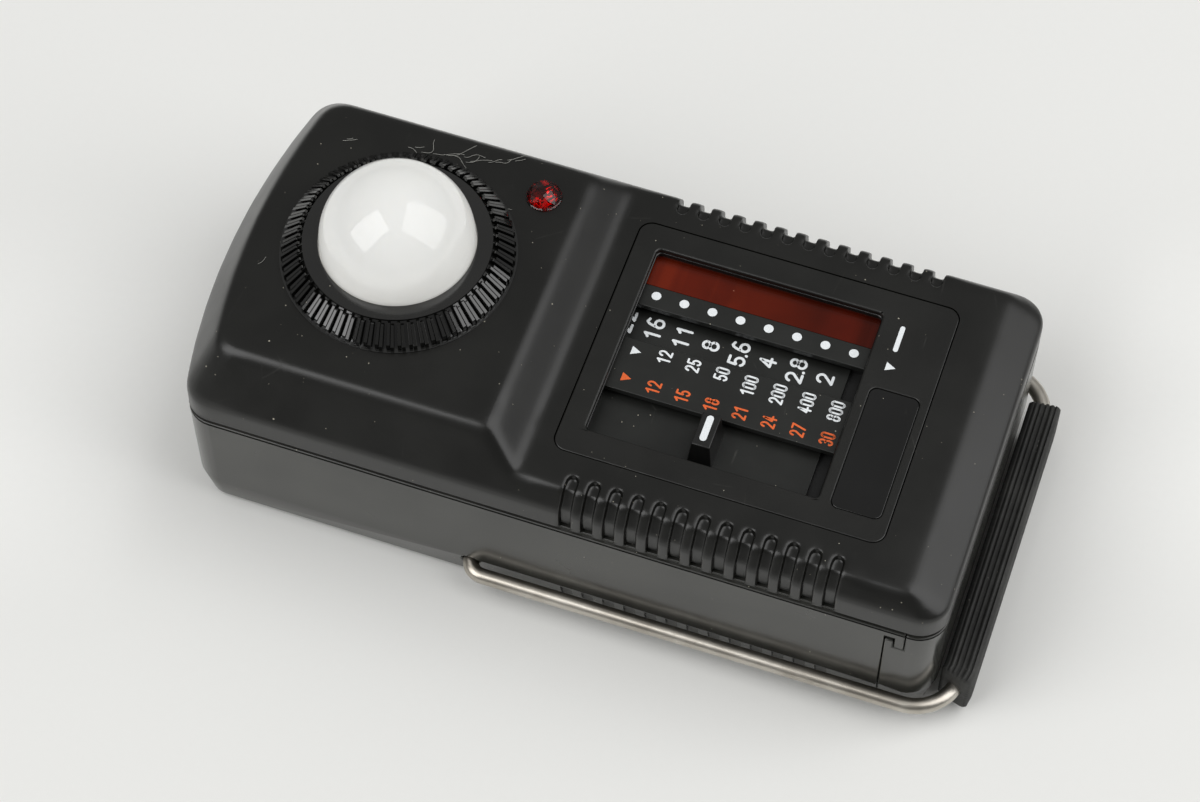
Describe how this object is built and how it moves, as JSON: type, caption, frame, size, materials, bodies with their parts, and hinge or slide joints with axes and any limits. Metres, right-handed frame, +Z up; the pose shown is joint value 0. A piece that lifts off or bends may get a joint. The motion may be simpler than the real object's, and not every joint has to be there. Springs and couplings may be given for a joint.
{
  "type": "flash meter",
  "caption": "Hand-held flash meter with a white dome in a knurled ring, a sliding aperture scale behind a framed window and a folding wire stand.",
  "frame": {"origin": "middle of the underside, on the surface that the meter lies on", "axes": "+X along the case from the dome towards the battery door and the folded stand's sleeve, +Y across the case towards the measuring button's side, +Z up out of the dome"},
  "size_m": [0.126, 0.0636, 0.0536],
  "materials": {
    "case_top": "finely textured black moulding",
    "case_bottom": "smooth satin black moulding",
    "bezel_black": "finely textured black moulding",
    "plate_black": "bare polished black plate",
    "red_filter": "dark red translucent plastic",
    "scale_black": "black printed plastic with white and orange figures",
    "inner_black": "plain black moulding",
    "spring_steel": "bright spring steel",
    "opal_white": "white translucent plastic",
    "ring_black": "satin black moulded teeth",
    "red_jewel": "faceted clear red plastic",
    "led_red": "tinted lamp resin",
    "board_green": "lacquered circuit board",
    "cell_blue": "dark silicon under a clear face",
    "chip_black": "moulded package with tinned pins",
    "capacitor_blue": "printed sleeve",
    "battery_grey": "plain printed can",
    "button_black": "smooth black cap",
    "screw_steel": "zinc-plated steel",
    "steel_wire": "drawn stainless wire",
    "sleeve_rubber": "ribbed black rubber"
  },
  "bodies": {
    "case": {"upper_case": "case_top", "lower_case": "case_bottom", "scale_bezel": "bezel_black", "name_plate": "plate_black", "led_filter": "red_filter", "dot_strip": "scale_black", "speed_scale": "scale_black", "slider_tray": "inner_black", "friction_spring": "spring_steel", "ready_lamp_lens": "red_jewel", "ready_led": "led_red", "result_led_1": "led_red", "result_led_2": "led_red", "result_led_3": "led_red", "result_led_4": "led_red", "result_led_5": "led_red", "result_led_6": "led_red", "result_led_7": "led_red", "result_led_8": "led_red", "circuit_board": "board_green", "photocell": "cell_blue", "cell_holder": "inner_black", "comparator_chip_1": "chip_black", "comparator_chip_2": "chip_black", "timing_capacitor": "capacitor_blue", "battery": "battery_grey", "battery_snap": "inner_black", "button_switch": "inner_black", "button_spring": "spring_steel", "case_screw_1": "screw_steel", "case_screw_2": "screw_steel", "case_screw_3": "screw_steel", "case_screw_4": "screw_steel"},
    "dome": {"diffuser_dome": "opal_white", "dome_ring": "ring_black"},
    "f_scale": {"f_scale_slider": "scale_black", "pointer_knob": "bezel_black"},
    "stand": {"wire_stand": "steel_wire", "stand_sleeve": "sleeve_rubber"},
    "door": {"battery_door": "case_bottom"},
    "button": {"measuring_button": "button_black"}
  },
  "joints": [
    {"name": "dome_turn", "type": "hinge", "parent": "case", "child": "dome", "pos_m": [-0.03575, 0.0006, 0.038], "axis": [0, 0, 1], "range_deg": [0, 45]},
    {"name": "scale_move", "type": "slide", "parent": "case", "child": "f_scale", "axis": [1, 0, 0], "range_m": [-0.0099, 0.0164]},
    {"name": "stand_swing", "type": "hinge", "parent": "case", "child": "stand", "pos_m": [-0.01475, 0, 0.0058], "axis": [0, 1, 0], "range_deg": [0, 115]},
    {"name": "door_pull", "type": "slide", "parent": "case", "child": "door", "axis": [0, 0, -1], "range_m": [0, 0.026]},
    {"name": "button_press", "type": "slide", "parent": "case", "child": "button", "axis": [0, -1, 0], "range_m": [0, 0.001], "stiffness_N_per_m": 800, "deforming": ["button_spring"]}
  ]
}
